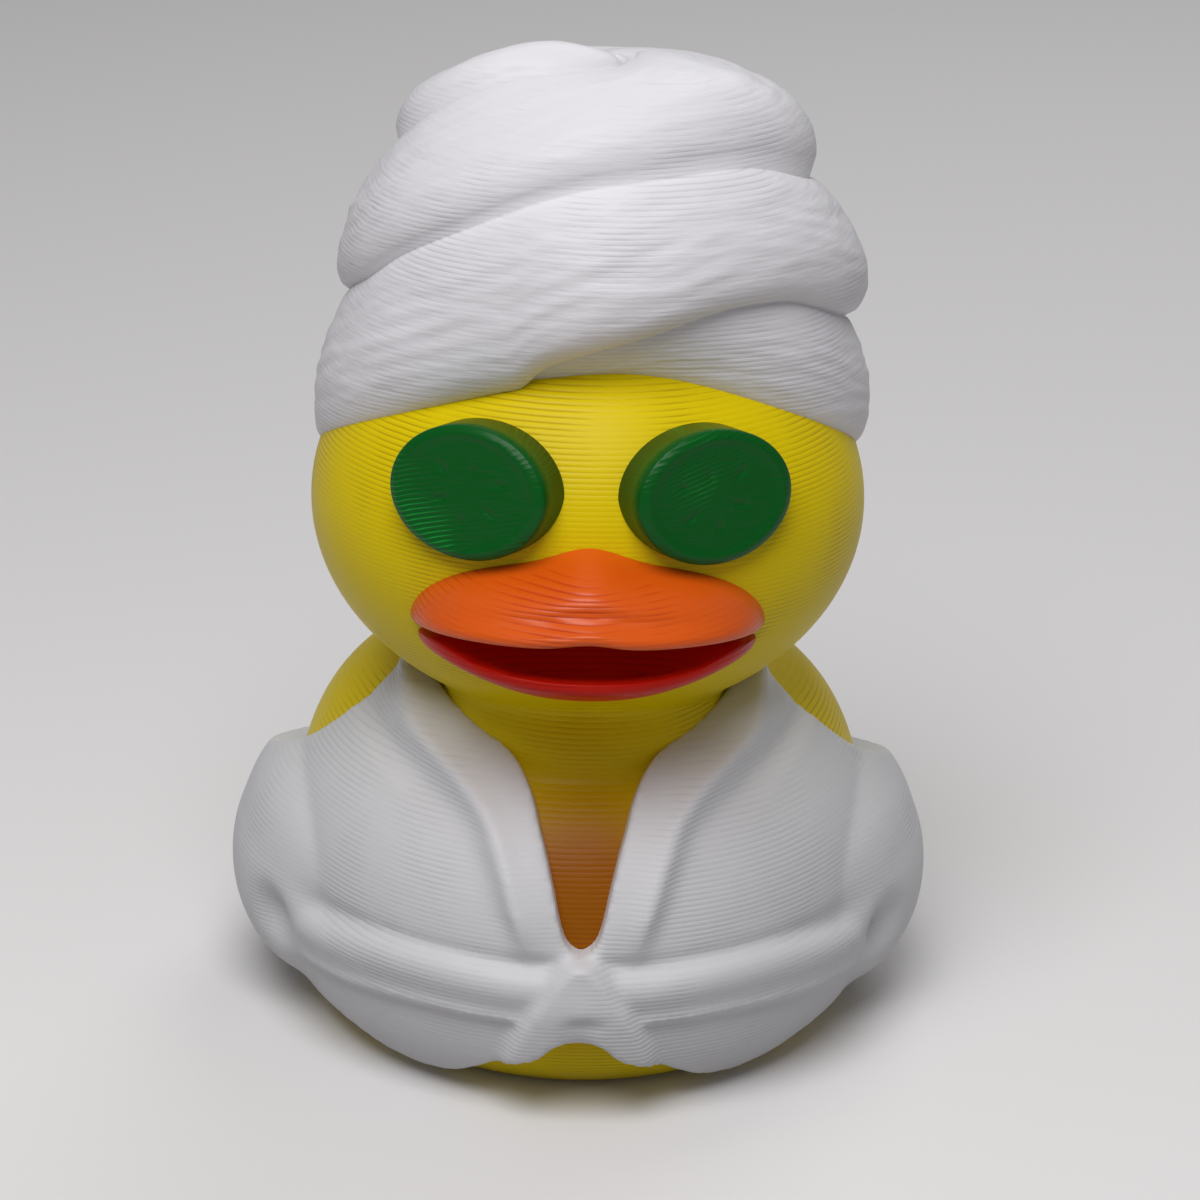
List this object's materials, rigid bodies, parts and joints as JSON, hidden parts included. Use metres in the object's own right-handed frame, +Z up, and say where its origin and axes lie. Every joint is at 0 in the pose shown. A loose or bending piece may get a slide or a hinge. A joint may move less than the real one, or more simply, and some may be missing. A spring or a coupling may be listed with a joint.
{
  "type": "rubber duck",
  "caption": "Small printed duck in a belted bath robe, with a twisted towel on its head, cucumber slices over its eyes and an open bill, standing on a flat base.",
  "frame": {"origin": "on the flat underside, on the middle plane of the duck, under the head and about midway between bill tip and tail tip", "axes": "+Z up through the head and towel, -Y the way the duck faces, +X to the right in the picture"},
  "size_m": [0.0416, 0.0455, 0.0588],
  "materials": {
    "yellow_print": "satin plastic with fine level print layers",
    "robe_white_print": "soft satin white with fine level print layers",
    "towel_white_print": "soft satin white with visible level print layers",
    "green_print": "satin plastic with slanting surface lines",
    "orange_print": "satin plastic with ringed layer steps on top",
    "red_print": "satin plastic"
  },
  "bodies": {
    "root": {"duck_body": "yellow_print", "bath_robe": "robe_white_print", "towel_turban": "towel_white_print", "cucumber_slice_left": "green_print", "cucumber_slice_right": "green_print", "upper_bill": "orange_print", "lower_bill": "red_print"}
  },
  "joints": []
}
